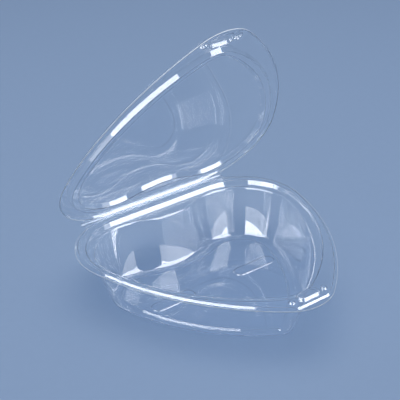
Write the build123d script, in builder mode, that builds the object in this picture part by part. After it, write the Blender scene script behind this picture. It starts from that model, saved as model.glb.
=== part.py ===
# Clear heart-shaped clamshell pack: a tray and a lid formed in one sheet, with a rolled hinge between them.
# Millimetres. X runs along the hinge, -Y points to the latch at the heart's tip, +Z is up.
# The origin lies under the middle of the tray, on the surface that the pack stands on.

import os
from math import cos, hypot, radians, sin, sqrt, tan

from build123d import *

# Sheet
sheet = 0.5
cut_overrun = 5.0

# Cut outline of each half
flange_width = 150.0
flange_length = 148.5
flange_lobe_radius = 40.0
flange_side_radius = 164.0
flange_tip_radius = 25.0

# Hinge
hinge_length = 104.0
hinge_gap = 2.0
closed_gap = 0.3
open_angle = 59.0

# Raised brim
land_width = 1.0
brim_rise = 1.4
tab_length = 3.4
tab_corner_radius = 2.0
brim_edge_draft = 30.0

# Recess round the cavity, where the lid's plug seats
recess_side_inset = 5.0
recess_back_inset = 7.8
recess_lobe_radius = 35.0
recess_side_radius = 125.0
recess_tip_radius = 20.0
recess_tip_inset = 13.7
recess_depth = 3.0
recess_draft = 20.0
plug_clearance = 0.45

# Heart cavity
heart_side_inset = 9.5
heart_lobe_radius = 32.3
heart_side_radius = 132.0
heart_tip_radius = 16.0
heart_back_inset = 11.0
heart_tip_inset = 16.8
heart_cleft_radius = 50.0
pack_height = 33.0
wall_draft = 14.5
rim_radius = 2.0
floor_radius = 4.0

# Floor: a foot ring round a raised panel, with two oblong pads
foot_ring_width = 2.2
panel_rise = 1.2
panel_draft = 45.0
pad_length = 30.0
pad_width = 9.0
pad_rise = 0.6
pad_spacing = 60.0
pad_inset = 59.0

# Latch at the tip
button_length = 14.6
button_width = 7.4
button_height = 2.0
button_corner_radius = 3.2
button_draft = 8.0
button_bevel = 0.8
button_inset = 9.2
nub_diameter = 4.2
nub_height = 1.4
nub_draft = 12.0
nub_spacing = 22.0

# Lid panel
panel_lift = 2.6
panel_inset = 1.0
lid_panel_draft = 40.0

# Levels in the frame of one half, with zero on the inner face of its land
ledge_level = brim_rise - recess_depth
foot_level = sheet - pack_height

# Places in the frame of one half, with zero on its hinge edge
pad_y = -pad_inset
button_y = button_inset - flange_length


def lobed_outline(lobe_x, back, lobe_radius, side_radius, tip_radius, tip, cleft_radius, inset):
    """Mirrored outline of tangent arcs: two lobes, two sides, a round tip and a straight or cleft back."""
    lobe = Vector(lobe_x, back - lobe_radius)
    tip_centre = Vector(0, tip + tip_radius)
    # The side arc's centre lies where both circles touch it from inside.
    span = lobe - tip_centre
    from_lobe = side_radius - lobe_radius
    from_tip = side_radius - tip_radius
    along = (from_tip**2 - from_lobe**2 + span.length**2) / (2 * span.length)
    across = sqrt(from_tip**2 - along**2)
    unit = span.normalized()
    side = tip_centre + unit * along + Vector(-unit.Y, unit.X) * across
    lobe_end = lobe + (lobe - side).normalized() * (lobe_radius - inset)
    tip_start = tip_centre + (tip_centre - side).normalized() * (tip_radius - inset)
    side_middle = side + ((lobe_end + tip_start) / 2 - side).normalized() * (side_radius - inset)
    tip_end = Vector(0, tip + inset)
    tip_middle = tip_centre + ((tip_start + tip_end) / 2 - tip_centre).normalized() * (tip_radius - inset)
    if cleft_radius:
        cleft = Vector(0, lobe.Y + sqrt((cleft_radius + lobe_radius) ** 2 - lobe_x**2))
        lobe_start = lobe + (cleft - lobe).normalized() * (lobe_radius - inset)
        cleft_end = cleft - Vector(0, cleft_radius + inset)
        cleft_chord = (cleft_end + lobe_start) / 2 - cleft
        cleft_middle = cleft + cleft_chord.normalized() * (cleft_radius + inset)
    else:
        lobe_start = Vector(lobe_x, back - inset)
    lobe_middle = lobe + Vector(1, 1).normalized() * (lobe_radius - inset)
    with BuildSketch() as outline:
        with BuildLine():
            ThreePointArc(tip_end, tip_middle, tip_start)
            ThreePointArc(tip_start, side_middle, lobe_end)
            ThreePointArc(lobe_end, lobe_middle, lobe_start)
            if cleft_radius:
                ThreePointArc(lobe_start, cleft_middle, cleft_end)
            else:
                Line(lobe_start, (0, back - inset))
            mirror(about=Plane.YZ)
        make_face()
    return outline.sketch


def flange_outline(inset):
    lobe_x = flange_width / 2 - flange_lobe_radius
    return lobed_outline(
        lobe_x, 0, flange_lobe_radius, flange_side_radius, flange_tip_radius, -flange_length, 0, inset
    )


def recess_outline(inset):
    lobe_x = flange_width / 2 - recess_side_inset - recess_lobe_radius
    tip = recess_tip_inset - flange_length
    return lobed_outline(
        lobe_x, -recess_back_inset, recess_lobe_radius, recess_side_radius, recess_tip_radius, tip, 0, inset
    )


def heart_outline(inset):
    lobe_x = flange_width / 2 - heart_side_inset - heart_lobe_radius
    tip = heart_tip_inset - flange_length
    return lobed_outline(
        lobe_x,
        -heart_back_inset,
        heart_lobe_radius,
        heart_side_radius,
        heart_tip_radius,
        tip,
        heart_cleft_radius,
        inset,
    )


def side_step(step, draft):
    """Sideways step of a drafted wall that keeps the sheet's thickness when its levels drop by step."""
    return step * tan(radians(45 - draft / 2))


def half_block(drop, slack, oversize):
    """Solid below one face of the sheet, dropped from the inner face, with what both halves share."""
    with BuildSketch(Plane.XY.offset(-drop)) as land:
        if oversize:
            with Locations((0, -flange_length / 2)):
                Rectangle(flange_width + cut_overrun, flange_length + cut_overrun)
        else:
            add(flange_outline(0))
            Rectangle(hinge_length, flange_lobe_radius, align=(Align.CENTER, Align.MAX))
    with BuildSketch(Plane.XY.offset(-drop)) as brim:
        add(flange_outline(land_width - slack + side_step(drop, brim_edge_draft)))
        with Locations((0, tab_length - slack - flange_length + side_step(drop, brim_edge_draft))):
            Rectangle(flange_width, flange_length, align=(Align.CENTER, Align.MAX), mode=Mode.SUBTRACT)
        fillet(brim.vertices().group_by(Axis.Y)[0], tab_corner_radius)
    brim_plane = Plane.XY.offset(brim_rise - drop)
    button_step = slack - side_step(drop, button_draft)
    with BuildSketch(brim_plane) as button:
        with Locations((0, button_y)):
            RectangleRounded(
                button_length + 2 * button_step,
                button_width + 2 * button_step,
                button_corner_radius + button_step,
            )
    with BuildSketch(brim_plane) as nubs:
        with Locations((0, button_y)):
            with GridLocations(nub_spacing, 0, 2, 1):
                Circle(nub_diameter / 2 + slack - side_step(drop, nub_draft))
    recess = brim_plane * recess_outline(slack - side_step(drop, recess_draft))
    with BuildPart() as block:
        extrude(land.sketch, amount=-pack_height - cut_overrun)
        extrude(brim.sketch, amount=brim_rise, taper=brim_edge_draft)
        extrude(recess, amount=-recess_depth, taper=recess_draft, mode=Mode.SUBTRACT)
        extrude(button.sketch, amount=button_height, taper=button_draft)
        chamfer(block.faces().sort_by(Axis.Z)[-1].edges(), button_bevel - (2 - sqrt(2)) * drop)
        extrude(nubs.sketch, amount=nub_height, taper=nub_draft)
    return block.part


def tray_block(drop, oversize):
    """Solid below one face of the tray's sheet."""
    wall_inset = (ledge_level - foot_level) * tan(radians(wall_draft))
    panel_edge = wall_inset + side_step(floor_radius, wall_draft) + foot_ring_width
    mouth = Plane.XY.offset(ledge_level - drop) * heart_outline(-side_step(drop, wall_draft))
    foot_plane = Plane.XY.offset(foot_level - drop)
    panel = foot_plane * heart_outline(panel_edge + side_step(drop, panel_draft))
    pad_step = side_step(drop, panel_draft)
    with BuildSketch(foot_plane.offset(panel_rise)) as pads:
        with Locations((0, pad_y)):
            with GridLocations(pad_spacing, 0, 2, 1):
                SlotOverall(pad_length - 2 * pad_step, pad_width - 2 * pad_step)
    with BuildPart() as block:
        add(half_block(drop, 0, oversize))
        extrude(mouth, amount=foot_level - ledge_level, taper=wall_draft, mode=Mode.SUBTRACT)
        cavity_edges = block.edges(Select.LAST).group_by(Axis.Z)
        fillet(cavity_edges[-1], rim_radius - drop)
        fillet(cavity_edges[0], floor_radius + drop)
        extrude(panel, amount=panel_rise, taper=panel_draft)
        extrude(pads.sketch, amount=pad_rise, taper=panel_draft)
    return block.part


def lid_block(drop, oversize):
    """Solid below one face of the lid's sheet, with the lid closed."""
    panel = Plane.XY.offset(ledge_level - drop) * heart_outline(panel_inset + side_step(drop, lid_panel_draft))
    with BuildPart() as block:
        add(half_block(drop, plug_clearance, oversize))
        extrude(panel, amount=panel_lift, taper=lid_panel_draft)
    return block.part


# Both halves lie on planes that turn about the hinge axis, midway between the closed lands.
# The tray's tip and the back of the hinge bead stand equally far from the origin.
bead_inner_radius = hypot(hinge_gap / 2, closed_gap / 2)
bead_outer_radius = hypot(hinge_gap / 2, closed_gap / 2 + sheet)
hinge_y = (flange_length + hinge_gap / 2 - bead_outer_radius) / 2
hinge_z = pack_height + closed_gap / 2
open_sine = sin(radians(open_angle))
open_cosine = cos(radians(open_angle))


def opened(y, z):
    """Place, from the hinge axis, of a point of the closed lid once it is open."""
    return Vector(y * open_cosine + z * open_sine, z * open_cosine - y * open_sine)


lid_edge = opened(-hinge_gap / 2, closed_gap / 2)
tray_plane = Plane(origin=(0, hinge_y - hinge_gap / 2, pack_height))
lid_plane = Plane(
    origin=(0, hinge_y + lid_edge.X, hinge_z + lid_edge.Y),
    x_dir=(1, 0, 0),
    z_dir=(0, open_sine, open_cosine),
)

# Tray
with BuildPart(tray_plane) as tray:
    add(tray_block(0, oversize=False))
    add(tray_block(sheet, oversize=True), mode=Mode.SUBTRACT)
tray.part.label = "tray"

# Lid
with BuildPart(lid_plane) as lid:
    add(lid_block(-sheet, oversize=False))
    add(lid_block(0, oversize=True), mode=Mode.SUBTRACT)
lid.part.label = "lid"

# Living hinge, a thin bead rolled round the axis from one land's cut edge to the other's
axis_point = Vector(hinge_y, hinge_z)
tray_inner = axis_point + Vector(-hinge_gap / 2, -closed_gap / 2)
tray_outer = tray_inner + Vector(0, -sheet)
lid_inner = axis_point + opened(-hinge_gap / 2, closed_gap / 2)
lid_outer = axis_point + opened(-hinge_gap / 2, closed_gap / 2 + sheet)
bead_back = Vector(cos(radians(open_angle / 2)), -sin(radians(open_angle / 2)))
with BuildPart() as living_hinge:
    with BuildSketch(Plane.YZ) as bead:
        with BuildLine():
            ThreePointArc(tray_inner, axis_point + bead_back * bead_inner_radius, lid_inner)
            Line(lid_inner, lid_outer)
            ThreePointArc(lid_outer, axis_point + bead_back * bead_outer_radius, tray_outer)
            Line(tray_outer, tray_inner)
        make_face()
    extrude(amount=hinge_length / 2, both=True)
living_hinge.part.label = "living_hinge"

os.makedirs("parts", exist_ok=True)
export_step(tray.part, "parts/tray.step")
export_step(lid.part, "parts/lid.step")
export_step(living_hinge.part, "parts/living_hinge.step")
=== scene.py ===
from math import atan2, copysign, cos, hypot, pi, radians, sin, sqrt, tan

import bmesh
import bpy
from bpy.props import FloatProperty, FloatVectorProperty, PointerProperty
from bpy.types import Operator, Panel, PropertyGroup
from mathutils import Matrix, Vector


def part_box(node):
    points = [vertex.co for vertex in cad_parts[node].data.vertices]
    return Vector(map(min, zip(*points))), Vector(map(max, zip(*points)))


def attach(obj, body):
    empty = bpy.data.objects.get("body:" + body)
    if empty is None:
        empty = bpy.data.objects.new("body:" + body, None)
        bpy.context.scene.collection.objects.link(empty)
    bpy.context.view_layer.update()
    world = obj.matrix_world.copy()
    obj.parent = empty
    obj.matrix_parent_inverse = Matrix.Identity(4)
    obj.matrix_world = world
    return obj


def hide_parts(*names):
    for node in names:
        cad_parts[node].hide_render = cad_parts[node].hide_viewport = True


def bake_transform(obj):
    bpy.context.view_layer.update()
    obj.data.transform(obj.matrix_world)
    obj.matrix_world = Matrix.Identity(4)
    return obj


bl_info = {
    "name": "Clear heart clamshell pack",
    "version": (1, 0, 0),
    "blender": (4, 5, 0),
    "location": "View3D > Sidebar > Clamshell",
    "description": "Dresses the packed clamshell as clear formed sheet on a studio floor",
    "category": "Object",
}

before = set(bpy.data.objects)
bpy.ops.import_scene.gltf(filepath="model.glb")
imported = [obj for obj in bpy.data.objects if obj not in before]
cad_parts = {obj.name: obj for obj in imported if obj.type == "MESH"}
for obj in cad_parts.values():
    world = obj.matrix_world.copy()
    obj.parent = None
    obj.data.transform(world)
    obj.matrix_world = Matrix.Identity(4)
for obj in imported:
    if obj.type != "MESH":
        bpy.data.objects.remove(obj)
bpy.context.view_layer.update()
tray_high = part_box("tray")[1]

# Points along each kind of arc in half an outline, and along each round of a wall
TIP_STEPS = 22
SIDE_STEPS = 26
LOBE_STEPS = 40
BACK_STEPS = 16
CORNER_STEPS = 8
ROUND_STEPS = 7
EDGE_STEPS = 3
BOW_STEPS = 14
BEAD_STEPS = 40

# Place of the frosted finish among the materials of a half
CUT_FINISH = 1
# Edges of the hinge bead that turn by more than this stay sharp
SHARP_ANGLE = pi / 4
# A ray with a glossy depth over this has been mirrored at least once
MIRRORED_ONCE = 0.5
IMAGE_PIXELS = 400
LENGTH_DIGITS = 5


def length(name, description, default):
    """A length property, in metres."""
    return FloatProperty(
        name=name, description=description, default=default, unit="LENGTH", precision=LENGTH_DIGITS
    )


def angle(name, description, degrees):
    """An angle property, with its default in degrees."""
    return FloatProperty(
        name=name, description=description, default=radians(degrees), subtype="ANGLE"
    )


def colour(name, description, default):
    """A colour property, in linear light."""
    return FloatVectorProperty(
        name=name,
        description=description,
        default=default,
        subtype="COLOR",
        size=3,
        min=0.0,
        max=1.0,
    )


def place(name, description, default):
    """A place in the frame, in metres."""
    return FloatVectorProperty(
        name=name,
        description=description,
        default=default,
        subtype="TRANSLATION",
        unit="LENGTH",
        size=3,
    )


def number(name, description, default):
    """A plain number."""
    return FloatProperty(name=name, description=description, default=default)


class FlangeSizes(PropertyGroup):
    """Sheet, cut outline, brim and recess, which both halves share."""

    sheet: length("Sheet", "Thickness of the formed sheet", 0.0005)
    width: length("Width", "Width across the lobes of the cut outline", 0.150)
    depth: length("Depth", "Distance from the hinge edge to the tip", 0.1485)
    lobe_radius: length("Lobe radius", "Radius of the two lobes", 0.040)
    side_radius: length("Side radius", "Radius of the long sides", 0.164)
    tip_radius: length("Tip radius", "Radius of the tip", 0.025)
    land_width: length("Land width", "Flat strip outside the brim", 0.001)
    brim_rise: length("Brim rise", "Height of the brim over the land", 0.0014)
    brim_draft: angle("Brim draft", "Lean of the brim's edge", 30.0)
    tab_length: length("Tab length", "Flat strip outside the brim at the tip", 0.0034)
    tab_round: length("Tab round", "Softening where the brim meets the tab's straight edge", 0.0012)
    recess_side_inset: length(
        "Recess side inset", "From the cut edge to the recess at the lobes", 0.005
    )
    recess_back_inset: length("Recess back inset", "From the hinge edge to the recess", 0.0078)
    recess_tip_inset: length("Recess tip inset", "From the tip to the recess", 0.0137)
    recess_lobe_radius: length("Recess lobe radius", "Radius of the recess at the lobes", 0.035)
    recess_side_radius: length("Recess side radius", "Radius of the recess along the sides", 0.125)
    recess_tip_radius: length("Recess tip radius", "Radius of the recess at the tip", 0.020)
    recess_depth: length("Recess depth", "Depth of the recess below the brim", 0.003)
    recess_draft: angle("Recess draft", "Lean of the recess wall", 20.0)
    outer_round: length("Outer round", "Radius of edges that stand proud", 0.0006)
    inner_round: length("Inner round", "Radius of edges in a corner", 0.0003)
    edge_round: length("Edge round", "Softening of the cut edge", 0.00012)


class HeartSizes(PropertyGroup):
    """Heart outline of the tray's mouth and of the lid's panel."""

    side_inset: length("Side inset", "From the cut edge to the heart at the lobes", 0.0095)
    back_inset: length("Back inset", "From the hinge edge to the heart", 0.011)
    tip_inset: length("Tip inset", "From the tip to the heart", 0.0168)
    lobe_radius: length("Lobe radius", "Radius of the heart's lobes", 0.0323)
    side_radius: length("Side radius", "Radius of the heart's sides", 0.132)
    tip_radius: length("Tip radius", "Radius of the heart's tip", 0.016)
    cleft_radius: length("Cleft radius", "Radius of the hollow between the lobes", 0.050)


class TraySizes(PropertyGroup):
    """Heights, walls and floor of the tray."""

    height: length("Height", "From the foot to the land's upper face", 0.033)
    wall_draft: angle("Wall draft", "Lean of the cavity's wall", 14.5)
    wall_bow: angle("Wall bow", "Change of the wall's lean from half its height to each end", 6.0)
    rim_radius: length("Rim radius", "Round at the cavity's mouth", 0.0016)
    floor_radius: length("Floor radius", "Round between wall and foot", 0.004)
    foot_ring_width: length("Foot ring width", "Flat ring that the pack stands on", 0.0022)
    panel_rise: length("Panel rise", "Height of the floor panel over the foot ring", 0.0012)
    panel_draft: angle("Panel draft", "Lean of the floor panel's edge", 45.0)
    pad_length: length("Pad length", "Length of each oblong pad", 0.030)
    pad_width: length("Pad width", "Width of each oblong pad", 0.009)
    pad_rise: length("Pad rise", "Height of each pad over the panel", 0.0006)
    pad_spacing: length("Pad spacing", "Distance between the pads' middles", 0.060)
    pad_inset: length("Pad inset", "From the hinge edge to the pads", 0.059)


class LatchSizes(PropertyGroup):
    """Button and nubs that snap the halves together at the tip."""

    button_length: length("Button length", "Length along the brim", 0.0146)
    button_width: length("Button width", "Width across the brim", 0.0074)
    button_height: length("Button height", "Height over the brim", 0.0020)
    button_corner: length("Button corner", "Corner radius of the button", 0.0032)
    button_draft: angle("Button draft", "Lean of the button's wall", 26.0)
    button_round: length("Button round", "Round of the button's top edge", 0.0009)
    inset: length("Inset", "From the tip to the button's middle", 0.0092)
    nub_diameter: length("Nub diameter", "Diameter of each nub", 0.0042)
    nub_height: length("Nub height", "Height of each nub over the brim", 0.0014)
    nub_draft: angle("Nub draft", "Lean of a nub's wall", 26.0)
    nub_spacing: length("Nub spacing", "Distance between the nubs' middles", 0.0220)
    clearance: length("Clearance", "Sideways play of the lid's latch over the tray's", 0.0002)


class LidSizes(PropertyGroup):
    """Panel of the lid, its fit in the tray and its hinge."""

    clearance: length("Clearance", "Sideways play of the lid over the tray", 0.00045)
    panel_lift: length("Panel lift", "Height of the panel over its groove", 0.0026)
    panel_inset: length("Panel inset", "From the heart outline to the panel's foot", 0.001)
    panel_draft: angle("Panel draft", "Lean of the panel's edge", 40.0)
    panel_round: length("Panel round", "Round of the panel's upper edge", 0.0009)
    open_angle: angle("Open angle", "Angle of the lid over the tray", 59.0)
    hinge_length: length("Hinge length", "Length of the hinge along the back edge", 0.104)
    hinge_gap: length("Hinge gap", "Twice the distance from each land to the axis", 0.002)
    closed_gap: length("Closed gap", "Play between the lands once closed", 0.0003)


class SheetFinish(PropertyGroup):
    """Clear formed plastic."""

    tint: colour("Tint", "Colour of the clear sheet", (0.985, 0.992, 1.0))
    refraction: number("Refraction", "Index of refraction of the plastic", 1.57)
    smooth_roughness: number("Smooth roughness", "Roughness of the clearest places", 0.006)
    hazy_roughness: number("Hazy roughness", "Roughness of the haziest places", 0.03)
    haze_low: number("Haze low", "Noise below which the sheet is clearest", 0.35)
    haze_high: number("Haze high", "Noise above which the sheet is haziest", 0.75)
    haze_detail: number("Haze detail", "Finer layers of the haze", 4.0)
    wave_scale: number("Wave scale", "Slow waves per metre in the sheet", 55.0)
    wave_detail: number("Wave detail", "Finer layers of waves and streaks", 1.0)
    wave_height: length("Wave height", "Height of the slow waves", 0.00001)
    streak_scale: number("Streak scale", "Forming streaks per metre round the walls", 170.0)
    streak_height: length("Streak height", "Height of the forming streaks", 0.000002)
    streak_stretch: number("Streak stretch", "Scale of the streaks upward, as a share", 0.06)
    shadow: colour("Shadow", "Light that the sheet lets through to the floor", (0.90, 0.92, 0.94))
    cut_colour: colour("Cut colour", "Colour of the frosted cut edge", (0.88, 0.94, 1.0))
    cut_clearness: number("Cut clearness", "Share of light that passes the cut edge", 0.1)
    cut_smooth: number("Cut smoothness", "Roughness of the cut edge's smoothest places", 0.3)
    cut_rough: number("Cut roughness", "Roughness of the cut edge's roughest places", 0.6)
    cut_scale: number("Cut scale", "Cutting marks per metre", 900.0)
    cut_detail: number("Cut detail", "Finer layers of the cutting marks", 2.0)
    mirror_bounces: number("Mirror bounces", "Mirrorings after which a ray leaves the sheet", 2.5)
    all_bounces: number("All bounces", "Bounces after which a ray leaves the sheet", 9.5)


class StageSettings(PropertyGroup):
    """Floor, lamps and camera."""

    floor_colour: colour("Floor colour", "Pale paper that the pack stands on", (0.25, 0.345, 0.51))
    floor_reach: length("Floor reach", "Half the side of the floor", 4.0)
    floor_roughness: number("Floor roughness", "Roughness of the paper", 0.85)
    floor_specular: number("Floor specular", "Specular level of the paper", 0.2)
    mottle_scale: number("Mottle scale", "Spots per metre in the paper", 180.0)
    mottle_detail: number("Mottle detail", "Finer layers of the mottle", 5.0)
    mottle_shade: number("Mottle shade", "Brightness of the darkest spots, as a share", 0.97)
    world_strength: number("World strength", "Strength of the light from all round", 0.25)
    lens: FloatProperty(name="Lens", description="Focal length", default=90.0, unit="CAMERA")
    sensor: FloatProperty(name="Sensor", description="Sensor width", default=36.0, unit="CAMERA")
    azimuth: angle("Azimuth", "Turn of the view about the pack", -36.02)
    elevation: angle("Elevation", "Height of the view over the floor", 28.25)
    roll: angle("Roll", "Tilt of the picture", -1.62)
    distance: length("Distance", "From the hinge edge to the camera", 0.6186)
    hinge_pixel_x: number(
        "Hinge pixel X", "Where the hinge edge's middle shows across the picture", 155.7
    )
    hinge_pixel_y: number(
        "Hinge pixel Y", "Where the hinge edge's middle shows down the picture", 199.7
    )
    top_height: length("Top lamp height", "Height of the soft lamp over the floor", 1.8)
    top_size: length("Top lamp size", "Side of the soft lamp over the floor", 1.6)
    top_power: FloatProperty(
        name="Top lamp power", description="Power of the soft lamp", default=34.0, unit="POWER"
    )
    right_lamp: place("Right lamp", "Foot of the softbox on the right", (0.40, -0.75, 0.005))
    left_lamp: place("Left lamp", "Foot of the softbox on the left", (-0.84, -0.133, 0.005))
    right_width: length("Right lamp width", "Width of the softbox on the right", 0.82)
    left_width: length("Left lamp width", "Width of the softbox on the left", 1.10)
    lamp_rise: length("Lamp rise", "Height of each softbox's lower edge over its foot", 0.10)
    lamp_height: length("Lamp height", "Height of each softbox", 1.75)
    lamp_glow: number("Lamp glow", "Radiance of each softbox's face", 7.0)
    card_share: number(
        "Card share", "Distance and width of each card, as a share of its softbox's", 0.45
    )
    card_height: length("Card height", "Height of each card", 0.12)
    card_glow: number("Card glow", "Radiance of each card", 2.2)


class ClamshellSettings(PropertyGroup):
    """All that a user would change."""

    flange: PointerProperty(type=FlangeSizes)
    heart: PointerProperty(type=HeartSizes)
    tray: PointerProperty(type=TraySizes)
    latch: PointerProperty(type=LatchSizes)
    lid: PointerProperty(type=LidSizes)
    finish: PointerProperty(type=SheetFinish)
    stage: PointerProperty(type=StageSettings)


# Outlines: each gives its points, anticlockwise, with the outward direction at each point


def heading_angle(vector):
    """Angle of a flat vector, from X towards Y."""
    return atan2(vector.y, vector.x)


def along_arc(centre, radius, start, end, steps, bulge):
    """Points from start up to but not including end, facing out of a bulge or into a hollow."""
    points = []
    for step in range(steps):
        turn = start + (end - start) * step / steps
        ray = Vector((cos(turn), sin(turn)))
        points.append((centre + ray * radius, ray * bulge))
    return points


class LobedOutline:
    """Mirrored outline of tangent arcs.

    It has a round tip, two sides, two lobes and a back that is straight or cleft.
    """

    def __init__(
        self, half_width, back, tip, lobe_radius, side_radius, tip_radius, cleft_radius=0.0
    ):
        self.back = back
        self.lobe_radius = lobe_radius
        self.side_radius = side_radius
        self.tip_radius = tip_radius
        self.cleft_radius = cleft_radius
        self.lobe = Vector((half_width - lobe_radius, back - lobe_radius))
        self.tip_centre = Vector((0.0, tip + tip_radius))
        span = self.lobe - self.tip_centre
        from_lobe = side_radius - lobe_radius
        from_tip = side_radius - tip_radius
        along = (from_tip**2 - from_lobe**2 + span.length_squared) / (2 * span.length)
        across = sqrt(from_tip**2 - along**2)
        unit = span.normalized()
        self.side = self.tip_centre + unit * along + Vector((-unit.y, unit.x)) * across
        if cleft_radius:
            rise = sqrt((cleft_radius + lobe_radius) ** 2 - self.lobe.x**2)
            self.cleft = Vector((0.0, self.lobe.y + rise))

    def loop(self, inset):
        tip_turn = heading_angle(self.tip_centre - self.side)
        lobe_turn = heading_angle(self.lobe - self.side)
        tip = self.tip_radius - inset
        side = self.side_radius - inset
        lobe = self.lobe_radius - inset
        half = along_arc(self.tip_centre, tip, -pi / 2, tip_turn, TIP_STEPS, 1)
        half += along_arc(self.side, side, tip_turn, lobe_turn, SIDE_STEPS, 1)
        if self.cleft_radius:
            end_turn = heading_angle(self.cleft - self.lobe)
            hollow = self.cleft_radius + inset
            half += along_arc(self.lobe, lobe, lobe_turn, end_turn, LOBE_STEPS, 1)
            half += along_arc(self.cleft, hollow, end_turn - pi, -pi / 2, BACK_STEPS, -1)
            middle = self.cleft - Vector((0.0, hollow))
        else:
            half += along_arc(self.lobe, lobe, lobe_turn, pi / 2, LOBE_STEPS, 1)
            straight = [self.lobe.x * (1 - step / BACK_STEPS) for step in range(BACK_STEPS)]
            half += [(Vector((x, self.back - inset)), Vector((0.0, 1.0))) for x in straight]
            middle = Vector((0.0, self.back - inset))
        other = [(Vector((-p.x, p.y)), Vector((-n.x, n.y))) for p, n in reversed(half[1:])]
        return half + [(middle, Vector((0.0, 1.0)))] + other


class LandOutline:
    """The cut outline, squared off along the back where the hinge runs."""

    def __init__(self, flange, hinge_length):
        self.flange = flange
        self.hinge_reach = hinge_length / 2

    def loop(self, inset):
        points = []
        for point, outward in self.flange.loop(inset):
            if point.y > self.flange.lobe.y and abs(point.x) < self.hinge_reach - inset:
                point, outward = Vector((point.x, -inset)), Vector((0.0, 1.0))
            points.append((point, outward))
        return points


class BrimOutline:
    """The cut outline, cut straight across behind the tab at the tip, with softened corners."""

    def __init__(self, flange, tab_line, softening):
        self.flange = flange
        self.tab_line = tab_line
        self.softening = softening

    def loop(self, inset):
        points = []
        for point, outward in self.flange.loop(inset):
            below = self.tab_line + inset - point.y
            share = min(max(0.5 + below / (2 * self.softening), 0.0), 1.0)
            lift = share * below + self.softening * share * (1 - share)
            outward = outward.lerp(Vector((0.0, -1.0)), share).normalized()
            points.append((Vector((point.x, point.y + lift)), outward))
        return points


class BarOutline:
    """A bar with round corners, which covers the button, the round nubs and the oblong pads."""

    def __init__(self, centre, bar_length, width, corner):
        self.centre = Vector(centre)
        self.corner = corner
        self.reach = Vector((bar_length / 2 - corner, width / 2 - corner))

    def loop(self, inset):
        points = []
        radius = self.corner - inset
        for quarter, (x, y) in enumerate(((1, -1), (1, 1), (-1, 1), (-1, -1))):
            corner = self.centre + Vector((x * self.reach.x, y * self.reach.y))
            start = (quarter - 1) * pi / 2
            points += along_arc(corner, radius, start, start + pi / 2, CORNER_STEPS, 1)
            straight = self.reach.x if quarter % 2 else self.reach.y
            if straight > 0:
                ray = Vector((cos(start + pi / 2), sin(start + pi / 2)))
                points.append((corner + ray * radius, ray))
        return points


def formed_wall(inset, level, rise, draft, first_round, last_round, bow=0.0):
    """Places and headings across a leaning wall with a round at each end.

    They lie in the plane of inset and level. A bowed wall starts steeper than its draft and
    ends flatter by the bow's angle.
    """
    turn = pi / 2 - draft
    steep, flat = turn + bow, turn - bow
    way = copysign(1, rise)
    climb = abs(rise) - first_round * (1 - cos(steep)) - last_round * (1 - cos(flat))
    bend = climb / (cos(flat) - cos(steep)) if bow else 0.0
    run = bend * (sin(steep) - sin(flat)) if bow else climb / tan(turn)
    end = inset + abs(rise) * tan(draft) + last_round * tan(turn / 2)
    spot = Vector((end - last_round * sin(flat) - run - first_round * sin(steep), level))
    places = []
    for step in range(ROUND_STEPS + 1):
        lean = steep * step / ROUND_STEPS
        move = Vector((sin(lean), way * (1 - cos(lean)))) * first_round
        places.append((spot + move, Vector((cos(lean), way * sin(lean)))))
    spot = places[-1][0]
    for step in range(1, BOW_STEPS if bow else 1):
        lean = steep + (flat - steep) * step / BOW_STEPS
        move = Vector((sin(steep) - sin(lean), way * (cos(lean) - cos(steep)))) * bend
        places.append((spot + move, Vector((cos(lean), way * sin(lean)))))
    spot = spot + Vector((run, way * climb))
    for step in range(ROUND_STEPS + 1):
        lean = flat * (1 - step / ROUND_STEPS)
        move = Vector((sin(flat) - sin(lean), way * (cos(lean) - cos(flat)))) * last_round
        places.append((spot + move, Vector((cos(lean), way * sin(lean)))))
    return places


def new_object(name, data):
    """Object in the scene's own collection."""
    made = bpy.data.objects.new(name, data)
    bpy.context.scene.collection.objects.link(made)
    return made


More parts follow.
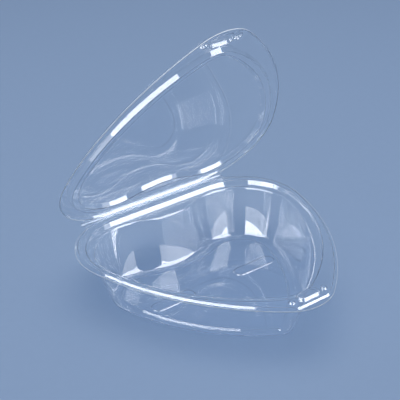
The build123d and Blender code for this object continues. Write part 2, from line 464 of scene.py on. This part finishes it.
class FormedSheet:
    """Mesh of one formed sheet: two faces with exact normals, joined round the cut edge."""

    def __init__(self):
        self.mesh = bmesh.new()
        self.normals = []

    def ring(self, loop, level, across, upward):
        """Points of a loop at one level, with normals that lean outward and upward."""
        verts = []
        for point, outward in loop:
            verts.append(self.mesh.verts.new((point.x, point.y, level)))
            self.normals.append(Vector((outward.x * across, outward.y * across, upward)))
        return verts

    def bridge(self, outer, inner, side):
        """Faces between two rings, facing up where side is 1 and down where it is -1."""
        count = len(outer)
        faces = []
        for i in range(count):
            after = (i + 1) % count
            quad = (outer[i], outer[after], inner[after], inner[i])
            faces.append(self.mesh.faces.new(quad if side > 0 else reversed(quad)))
        return faces

    def wall(self, outline, places, offset, side):
        """Wall at an offset from the given places. Gives its first and last ring."""
        rings = []
        for spot, heading in places:
            loop = outline.loop(spot.x + offset * heading.y)
            level = spot.y - offset * heading.x
            rings.append(self.ring(loop, level, side * heading.y, side * heading.x))
        for outer, inner in zip(rings, rings[1:]):
            self.bridge(outer, inner, side)
        return rings[0], rings[-1]

    def fill(self, rings, side):
        """Flat face between an outer ring and any rings inside it."""
        edges = []
        for ring in rings:
            for a, b in zip(ring, ring[1:] + ring[:1]):
                edges.append(self.mesh.edges.get((a, b)) or self.mesh.edges.new((a, b)))
        made = bmesh.ops.triangle_fill(
            self.mesh, use_beauty=True, use_dissolve=False, edges=edges, normal=(0.0, 0.0, side)
        )
        faces = [item for item in made["geom"] if isinstance(item, bmesh.types.BMFace)]
        for face in faces:
            face.normal_update()
        bmesh.ops.reverse_faces(self.mesh, faces=[f for f in faces if f.normal.z * side < 0])

    def piece(self, name, matrix, materials):
        """Object made of the finished mesh, placed in the frame."""
        data = bpy.data.meshes.new(name)
        self.mesh.to_mesh(data)
        self.mesh.free()
        data.transform(matrix)
        data.polygons.foreach_set("use_smooth", [True] * len(data.polygons))
        turned = matrix.to_3x3()
        normals = [(turned @ normal).normalized() for normal in self.normals]
        data.normals_split_custom_set_from_vertices(normals)
        for material in materials:
            data.materials.append(material)
        return new_object(name, data)


# What both halves share


def flange_outline(settings):
    """Cut outline, with the middle of the hinge edge at the origin."""
    sizes = settings.flange
    return LobedOutline(
        sizes.width / 2, 0.0, -sizes.depth, sizes.lobe_radius, sizes.side_radius, sizes.tip_radius
    )


def recess_outline(settings):
    """Upper edge of the recess round the tray's mouth."""
    sizes = settings.flange
    return LobedOutline(
        sizes.width / 2 - sizes.recess_side_inset,
        -sizes.recess_back_inset,
        sizes.recess_tip_inset - sizes.depth,
        sizes.recess_lobe_radius,
        sizes.recess_side_radius,
        sizes.recess_tip_radius,
    )


def heart_outline(settings):
    """Heart of the tray's mouth, which the lid's panel follows."""
    sizes = settings.heart
    return LobedOutline(
        settings.flange.width / 2 - sizes.side_inset,
        -sizes.back_inset,
        sizes.tip_inset - settings.flange.depth,
        sizes.lobe_radius,
        sizes.side_radius,
        sizes.tip_radius,
        sizes.cleft_radius,
    )


def latch_bumps(settings):
    """Outline, height, lean and top round of the button and both nubs."""
    latch = settings.latch
    y = latch.inset - settings.flange.depth
    button = BarOutline((0.0, y), latch.button_length, latch.button_width, latch.button_corner)
    bumps = [(button, latch.button_height, latch.button_draft, latch.button_round)]
    for x in (-latch.nub_spacing / 2, latch.nub_spacing / 2):
        nub = BarOutline((x, y), latch.nub_diameter, latch.nub_diameter, latch.nub_diameter / 2)
        bumps.append((nub, latch.nub_height, latch.nub_draft, settings.flange.outer_round))
    return bumps


def brim_face(sheet, settings, slack, offset, side, land_edge, proud, corner):
    """One face of land, brim, latch and recess. Gives the ring at the recess's foot."""
    sizes = settings.flange
    flange = flange_outline(settings)
    tab_line = sizes.tab_length - sizes.land_width - sizes.depth
    brim = BrimOutline(flange, tab_line, sizes.tab_round)
    foot_inset = sizes.land_width - slack
    rise = formed_wall(foot_inset, 0.0, sizes.brim_rise, sizes.brim_draft, corner, proud)
    brim_foot, brim_edge = sheet.wall(brim, rise, offset, side)
    sheet.fill([land_edge, brim_foot], side)
    level = sizes.brim_rise
    drop = formed_wall(slack, level, -sizes.recess_depth, sizes.recess_draft, proud, corner)
    recess_edge, recess_foot = sheet.wall(recess_outline(settings), drop, offset, side)
    feet = []
    for outline, height, draft, top_round in latch_bumps(settings):
        play = min(slack, settings.latch.clearance)
        wall = formed_wall(-play, level, height, draft, corner, top_round)
        foot, top = sheet.wall(outline, wall, offset, side)
        sheet.fill([top], side)
        feet.append(foot)
    sheet.fill([brim_edge, recess_edge] + feet, side)
    return recess_foot


def cut_edge(sheet, settings, upper_level):
    """Softened cut edge from the upper face to the lower one. Gives the ring on each face."""
    sizes = settings.flange
    soft = sizes.edge_round
    land = LandOutline(flange_outline(settings), settings.lid.hinge_length)
    rings = []
    for middle, start in ((upper_level - soft, pi / 2), (upper_level - sizes.sheet + soft, 0.0)):
        for step in range(EDGE_STEPS + 1):
            lean = start - pi / 2 * step / EDGE_STEPS
            loop = land.loop(soft * (1 - cos(lean)))
            rings.append(sheet.ring(loop, middle + soft * sin(lean), cos(lean), sin(lean)))
    for upper, lower in zip(rings, rings[1:]):
        for face in sheet.bridge(lower, upper, 1):
            if face.calc_center_median().y < -sizes.sheet:
                face.material_index = CUT_FINISH
    return rings[0], rings[-1]


def ledge_level(settings):
    """Level of the recess's floor, from the land."""
    return settings.flange.brim_rise - settings.flange.recess_depth


def hinge_axis(settings):
    """Place of the hinge axis, midway between the lands of the closed pack."""
    gap = settings.lid.hinge_gap / 2
    return Vector((0.0, tray_high.y + gap, settings.tray.height + settings.lid.closed_gap / 2))


def tray_matrix(settings):
    """Place of the tray's hinge edge."""
    return Matrix.Translation((0.0, tray_high.y, settings.tray.height))


def lid_matrix(settings):
    """Place and turn of the open lid's hinge edge."""
    axis = Matrix.Translation(hinge_axis(settings))
    turned = Matrix.Rotation(-settings.lid.open_angle, 4, "X")
    edge = Matrix.Translation((0.0, -settings.lid.hinge_gap / 2, settings.lid.closed_gap / 2))
    return axis @ turned @ edge


# Finishes


def new_material(name):
    """A material with its node tree and its shader."""
    material = bpy.data.materials.new(name)
    material.use_nodes = True
    return material, material.node_tree, material.node_tree.nodes["Principled BSDF"]


def own_place(tree):
    """Socket with each point's place in the object's own coordinates."""
    return tree.nodes.new("ShaderNodeTexCoord").outputs["Object"]


def noise_node(tree, place_socket, scale, detail):
    """Socket with noise over the given places."""
    noise = tree.nodes.new("ShaderNodeTexNoise")
    noise.inputs["Scale"].default_value = scale
    noise.inputs["Detail"].default_value = detail
    tree.links.new(place_socket, noise.inputs["Vector"])
    return noise.outputs["Fac"]


def range_node(tree, value, old_range, new_range):
    """Socket with a value moved from its old range to a new one."""
    node = tree.nodes.new("ShaderNodeMapRange")
    limits = (*old_range, *new_range)
    for name, limit in zip(("From Min", "From Max", "To Min", "To Max"), limits):
        node.inputs[name].default_value = limit
    tree.links.new(value, node.inputs["Value"])
    return node.outputs["Result"]


def math_node(tree, operation, first, second):
    """Socket with the result, held between 0 and 1, for a socket and a socket or number."""
    node = tree.nodes.new("ShaderNodeMath")
    node.operation = operation
    node.use_clamp = True
    tree.links.new(first, node.inputs[0])
    if isinstance(second, float):
        node.inputs[1].default_value = second
    else:
        tree.links.new(second, node.inputs[1])
    return node.outputs["Value"]


def bump_node(tree, height_socket, distance):
    """Bump of the given height."""
    bump = tree.nodes.new("ShaderNodeBump")
    bump.inputs["Distance"].default_value = distance
    tree.links.new(height_socket, bump.inputs["Height"])
    return bump


def clear_sheet(settings):
    """Clear formed plastic with slow waves, forming streaks and a little haze."""
    made_before = bpy.data.materials.get("clear_formed_sheet")
    if made_before:
        return made_before
    finish = settings.finish
    material, tree, sheet = new_material("clear_formed_sheet")
    sheet.inputs["Base Color"].default_value = (*finish.tint, 1.0)
    sheet.inputs["Transmission Weight"].default_value = 1.0
    sheet.inputs["IOR"].default_value = finish.refraction

    spot = own_place(tree)
    haze = noise_node(tree, spot, finish.wave_scale, finish.haze_detail)
    haze_range = finish.haze_low, finish.haze_high
    roughness_range = finish.smooth_roughness, finish.hazy_roughness
    roughness = range_node(tree, haze, haze_range, roughness_range)
    tree.links.new(roughness, sheet.inputs["Roughness"])

    waves = noise_node(tree, spot, finish.wave_scale, finish.wave_detail)
    stretch = tree.nodes.new("ShaderNodeMapping")
    stretch.inputs["Scale"].default_value = (1.0, 1.0, finish.streak_stretch)
    tree.links.new(spot, stretch.inputs["Vector"])
    streaks = noise_node(tree, stretch.outputs["Vector"], finish.streak_scale, finish.wave_detail)
    slow = bump_node(tree, waves, finish.wave_height)
    fine = bump_node(tree, streaks, finish.streak_height)
    tree.links.new(slow.outputs["Normal"], fine.inputs["Normal"])
    tree.links.new(fine.outputs["Normal"], sheet.inputs["Normal"])

    # Shadow rays, and rays that run on and on inside the sheet, go straight through.
    ray = tree.nodes.new("ShaderNodeLightPath")
    through = ray.outputs["Is Shadow Ray"]
    limits = ("Glossy Depth", finish.mirror_bounces), ("Ray Depth", finish.all_bounces)
    for depth, most in limits:
        deep = math_node(tree, "GREATER_THAN", ray.outputs[depth], most)
        through = math_node(tree, "MAXIMUM", through, deep)
    passed = tree.nodes.new("ShaderNodeBsdfTransparent")
    passed.inputs["Color"].default_value = (*finish.shadow, 1.0)
    mix = tree.nodes.new("ShaderNodeMixShader")
    tree.links.new(through, mix.inputs["Fac"])
    tree.links.new(sheet.outputs["BSDF"], mix.inputs[1])
    tree.links.new(passed.outputs["BSDF"], mix.inputs[2])
    tree.links.new(mix.outputs["Shader"], tree.nodes["Material Output"].inputs["Surface"])
    return material


def cut_sheet(settings):
    """Frosted edge where the sheet was cut, with fine cutting marks."""
    made_before = bpy.data.materials.get("frosted_cut_edge")
    if made_before:
        return made_before
    finish = settings.finish
    material, tree, edge = new_material("frosted_cut_edge")
    edge.inputs["Base Color"].default_value = (*finish.cut_colour, 1.0)
    edge.inputs["Transmission Weight"].default_value = finish.cut_clearness
    edge.inputs["IOR"].default_value = finish.refraction
    marks = noise_node(tree, own_place(tree), finish.cut_scale, finish.cut_detail)
    roughness = range_node(tree, marks, (0.0, 1.0), (finish.cut_smooth, finish.cut_rough))
    tree.links.new(roughness, edge.inputs["Roughness"])
    return material


def floor_paper(settings):
    """Matt backdrop paper with a faint mottle."""
    stage = settings.stage
    material, tree, paper = new_material("floor_paper")
    paper.inputs["Roughness"].default_value = stage.floor_roughness
    paper.inputs["Specular IOR Level"].default_value = stage.floor_specular
    mottle = noise_node(tree, own_place(tree), stage.mottle_scale, stage.mottle_detail)
    shade = tree.nodes.new("ShaderNodeMixRGB")
    darker = [stage.mottle_shade * part for part in stage.floor_colour]
    shade.inputs["Color1"].default_value = (*darker, 1.0)
    shade.inputs["Color2"].default_value = (*stage.floor_colour, 1.0)
    tree.links.new(mottle, shade.inputs["Fac"])
    tree.links.new(shade.outputs["Color"], paper.inputs["Base Color"])
    return material


# Operators


class CLAMSHELL_OT_tray(Operator):
    """Form the tray: land, brim, latch, recess, heart cavity, foot ring, floor panel and pads"""

    bl_idname = "clamshell.tray"
    bl_label = "Form Tray"
    bl_options = {"REGISTER", "UNDO"}

    def execute(self, context):
        settings = context.scene.clamshell
        thickness = settings.flange.sheet
        sheet = FormedSheet()
        upper, lower = cut_edge(sheet, settings, 0.0)
        self.form_face(sheet, settings, 0.0, 1, upper)
        self.form_face(sheet, settings, thickness, -1, lower)
        finishes = clear_sheet(settings), cut_sheet(settings)
        made = sheet.piece("tray_sheet", tray_matrix(settings), finishes)
        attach(made, "tray")
        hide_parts("tray")
        return {"FINISHED"}

    def form_face(self, sheet, settings, offset, side, land_edge):
        proud, corner = settings.flange.outer_round, settings.flange.inner_round
        sizes = settings.tray
        heart = heart_outline(settings)
        recess_foot = brim_face(sheet, settings, 0.0, offset, side, land_edge, proud, corner)

        ledge = ledge_level(settings)
        foot_level = settings.flange.sheet - sizes.height
        fall = foot_level - ledge
        cavity = formed_wall(
            0.0, ledge, fall, sizes.wall_draft, sizes.rim_radius, sizes.floor_radius, sizes.wall_bow
        )
        rim, floor_edge = sheet.wall(heart, cavity, offset, side)
        sheet.fill([recess_foot, rim], side)

        floor_step = sizes.floor_radius * tan((pi / 2 - sizes.wall_draft) / 2)
        panel_inset = -fall * tan(sizes.wall_draft) + floor_step + sizes.foot_ring_width
        rise = formed_wall(
            panel_inset, foot_level, sizes.panel_rise, sizes.panel_draft, corner, proud
        )
        panel_foot, panel_edge = sheet.wall(heart, rise, offset, side)
        sheet.fill([floor_edge, panel_foot], side)

        panel_level = foot_level + sizes.panel_rise
        pad_feet = []
        for x in (-sizes.pad_spacing / 2, sizes.pad_spacing / 2):
            middle = (x, -sizes.pad_inset)
            pad = BarOutline(middle, sizes.pad_length, sizes.pad_width, sizes.pad_width / 2)
            rise = formed_wall(0.0, panel_level, sizes.pad_rise, sizes.panel_draft, corner, proud)
            pad_foot, pad_top = sheet.wall(pad, rise, offset, side)
            sheet.fill([pad_top], side)
            pad_feet.append(pad_foot)
        sheet.fill([panel_edge] + pad_feet, side)


class CLAMSHELL_OT_lid(Operator):
    """Form the lid: land, brim, latch, plug groove and heart panel"""

    bl_idname = "clamshell.lid"
    bl_label = "Form Lid"
    bl_options = {"REGISTER", "UNDO"}

    def execute(self, context):
        settings = context.scene.clamshell
        thickness = settings.flange.sheet
        sheet = FormedSheet()
        upper, lower = cut_edge(sheet, settings, thickness)
        self.form_face(sheet, settings, -thickness, 1, upper)
        self.form_face(sheet, settings, 0.0, -1, lower)
        finishes = clear_sheet(settings), cut_sheet(settings)
        made = sheet.piece("lid_sheet", lid_matrix(settings), finishes)
        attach(made, "lid")
        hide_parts("lid")
        return {"FINISHED"}

    def form_face(self, sheet, settings, offset, side, land_edge):
        # On the lid's lower face, hollow corners are the wide ones, and proud edges the tight ones.
        proud, corner = settings.flange.inner_round, settings.flange.outer_round
        sizes = settings.lid
        groove_foot = brim_face(
            sheet, settings, sizes.clearance, offset, side, land_edge, proud, corner
        )
        lift = formed_wall(
            sizes.panel_inset,
            ledge_level(settings),
            sizes.panel_lift,
            sizes.panel_draft,
            corner,
            sizes.panel_round,
        )
        panel_foot, panel_edge = sheet.wall(heart_outline(settings), lift, offset, side)
        sheet.fill([groove_foot, panel_foot], side)
        sheet.fill([panel_edge], side)


class CLAMSHELL_OT_hinge(Operator):
    """Roll the thin hinge bead that joins both lands"""

    bl_idname = "clamshell.hinge"
    bl_label = "Roll Hinge"
    bl_options = {"REGISTER", "UNDO"}

    def execute(self, context):
        settings = context.scene.clamshell
        sizes = settings.lid
        gap, play = sizes.hinge_gap / 2, sizes.closed_gap / 2
        radii = (hypot(gap, play), hypot(gap, play + settings.flange.sheet))
        starts = (atan2(play, gap), atan2(play + settings.flange.sheet, gap))
        axis = hinge_axis(settings)
        full_turn = 2 * pi - sizes.open_angle
        mesh = bmesh.new()
        rows = []
        for step in range(BEAD_STEPS + 1):
            row = []
            for radius, start in zip(radii, starts):
                turn = pi + start + (full_turn - 2 * start) * step / BEAD_STEPS
                spot = axis + Vector((0.0, cos(turn), sin(turn))) * radius
                for x in (-sizes.hinge_length / 2, sizes.hinge_length / 2):
                    row.append(mesh.verts.new((x, spot.y, spot.z)))
            rows.append(row)
        around = (0, 1, 3, 2)
        for before, after in zip(rows, rows[1:]):
            for i, j in zip(around, around[1:] + around[:1]):
                mesh.faces.new((before[i], before[j], after[j], after[i]))
        mesh.faces.new([rows[0][i] for i in reversed(around)])
        mesh.faces.new([rows[-1][i] for i in around])
        bmesh.ops.recalc_face_normals(mesh, faces=mesh.faces[:])
        data = bpy.data.meshes.new("hinge_bead")
        mesh.to_mesh(data)
        mesh.free()
        data.materials.append(clear_sheet(settings))
        data.polygons.foreach_set("use_smooth", [True] * len(data.polygons))
        data.set_sharp_from_angle(angle=SHARP_ANGLE)
        made = new_object("hinge_bead", data)
        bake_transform(made)
        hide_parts("living_hinge")
        return {"FINISHED"}


class CLAMSHELL_OT_stage(Operator):
    """Lay the floor, hang the lamps and set the camera"""

    bl_idname = "clamshell.stage"
    bl_label = "Set Stage"
    bl_options = {"REGISTER", "UNDO"}

    def execute(self, context):
        settings = context.scene.clamshell
        self.lay_floor(settings)
        self.light_world(context, settings.stage)
        stage = settings.stage
        above = (0.0, 0.0, stage.top_height)
        top = self.hang_lamp("top_lamp", above, stage.top_size, stage.top_size)
        top.data.energy = stage.top_power
        top.visible_glossy = False
        top.visible_transmission = False
        softboxes = (
            ("right_lamp", stage.right_lamp, stage.right_width),
            ("left_lamp", stage.left_lamp, stage.left_width),
        )
        for name, foot, width in softboxes:
            foot = Vector(foot)
            spot = foot + Vector((0.0, 0.0, stage.lamp_rise + stage.lamp_height / 2))
            lamp = self.hang_lamp(name, spot, width, stage.lamp_height)
            self.glow(lamp, stage.lamp_glow)
            spot = foot * stage.card_share + Vector((0.0, 0.0, stage.card_height / 2))
            card_width = stage.card_share * width
            card = self.hang_lamp(name + "_card", spot, card_width, stage.card_height)
            self.glow(card, stage.card_glow)
            inward = Vector((-foot.x, -foot.y, 0.0)).to_track_quat("-Z", "Y").to_euler()
            for face in (lamp, card):
                face.rotation_euler = inward
        self.set_camera(context, settings)
        context.scene.view_settings.view_transform = "Standard"
        return {"FINISHED"}

    def lay_floor(self, settings):
        reach = settings.stage.floor_reach
        mesh = bmesh.new()
        bmesh.ops.create_grid(mesh, x_segments=1, y_segments=1, size=reach)
        data = bpy.data.meshes.new("floor")
        mesh.to_mesh(data)
        mesh.free()
        data.materials.append(floor_paper(settings))
        floor = new_object("floor", data)

    def light_world(self, context, stage):
        """Show the floor's colour to the eye and in the sheet, and light the scene dimly."""
        world = bpy.data.worlds.new("studio")
        world.use_nodes = True
        tree = world.node_tree
        sky = tree.nodes["Background"]
        sky.inputs["Color"].default_value = (*stage.floor_colour, 1.0)
        ray = tree.nodes.new("ShaderNodeLightPath")
        seen = ray.outputs["Is Camera Ray"]
        for kind in ("Is Glossy Ray", "Is Transmission Ray"):
            seen = math_node(tree, "MAXIMUM", seen, ray.outputs[kind])
        strength = range_node(tree, seen, (0.0, 1.0), (stage.world_strength, 1.0))
        tree.links.new(strength, sky.inputs["Strength"])
        context.scene.world = world

    def hang_lamp(self, name, spot, width, height):
        """Area lamp that the camera doesn't see."""
        data = bpy.data.lights.new(name, "AREA")
        data.shape = "RECTANGLE"
        data.size = width
        data.size_y = height
        lamp = new_object(name, data)
        lamp.location = spot
        lamp.visible_camera = False
        return lamp

    def glow(self, lamp, radiance):
        """Make a lamp that shows only in the sheet's reflections and doesn't light the floor."""
        lamp.visible_diffuse = False
        lamp.data.energy = radiance * pi * lamp.data.size * lamp.data.size_y
        lamp.data.use_nodes = True
        tree = lamp.data.node_tree
        ray = tree.nodes.new("ShaderNodeLightPath")
        mirrored = math_node(tree, "GREATER_THAN", ray.outputs["Glossy Depth"], MIRRORED_ONCE)
        shown = math_node(tree, "SUBTRACT", mirrored, ray.outputs["Diffuse Depth"])
        tree.links.new(shown, tree.nodes["Emission"].inputs["Strength"])

    def set_camera(self, context, settings):
        """Camera that shows the middle of the hinge edge at its pixel in the picture."""
        stage = settings.stage
        data = bpy.data.cameras.new("camera")
        data.lens = stage.lens
        data.sensor_width = stage.sensor
        camera = new_object("camera", data)
        turn, height = stage.azimuth, stage.elevation
        back = Vector((sin(turn) * cos(height), -cos(turn) * cos(height), sin(height)))
        level_right = Vector((0.0, 0.0, 1.0)).cross(back).normalized()
        level_up = back.cross(level_right)
        right = level_right * cos(stage.roll) + level_up * sin(stage.roll)
        up = level_up * cos(stage.roll) - level_right * sin(stage.roll)
        pixel = stage.distance * stage.sensor / (stage.lens * IMAGE_PIXELS)
        across = (stage.hinge_pixel_x - IMAGE_PIXELS / 2) * pixel
        above = (IMAGE_PIXELS / 2 - stage.hinge_pixel_y) * pixel
        hinge_edge = Vector((0.0, tray_high.y, settings.tray.height))
        spot = hinge_edge + back * stage.distance - right * across - up * above
        axes = Matrix((right, up, back)).transposed()
        camera.matrix_world = Matrix.Translation(spot) @ axes.to_4x4()
        context.scene.camera = camera


class CLAMSHELL_PT_sidebar(Panel):
    """Lists the pieces of the pack and its stage"""

    bl_idname = "CLAMSHELL_PT_sidebar"
    bl_label = "Clamshell"
    bl_space_type = "VIEW_3D"
    bl_region_type = "UI"
    bl_category = "Clamshell"

    def draw(self, context):
        settings = context.scene.clamshell
        for operator in OPERATORS:
            self.layout.operator(operator.bl_idname)
        for group_name in settings.__annotations__:
            group = getattr(settings, group_name)
            box = self.layout.box()
            for name in group.__annotations__:
                box.prop(group, name)


OPERATORS = (CLAMSHELL_OT_tray, CLAMSHELL_OT_lid, CLAMSHELL_OT_hinge, CLAMSHELL_OT_stage)
GROUPS = (FlangeSizes, HeartSizes, TraySizes, LatchSizes, LidSizes, SheetFinish, StageSettings)
CLASSES = (*GROUPS, ClamshellSettings, *OPERATORS, CLAMSHELL_PT_sidebar)


def register():
    for cls in CLASSES:
        bpy.utils.register_class(cls)
    bpy.types.Scene.clamshell = PointerProperty(type=ClamshellSettings)


def unregister():
    del bpy.types.Scene.clamshell
    for cls in reversed(CLASSES):
        bpy.utils.unregister_class(cls)


def main():
    register()
    bpy.ops.clamshell.tray()
    bpy.ops.clamshell.lid()
    bpy.ops.clamshell.hinge()
    bpy.ops.clamshell.stage()


if __name__ == "__main__":
    main()
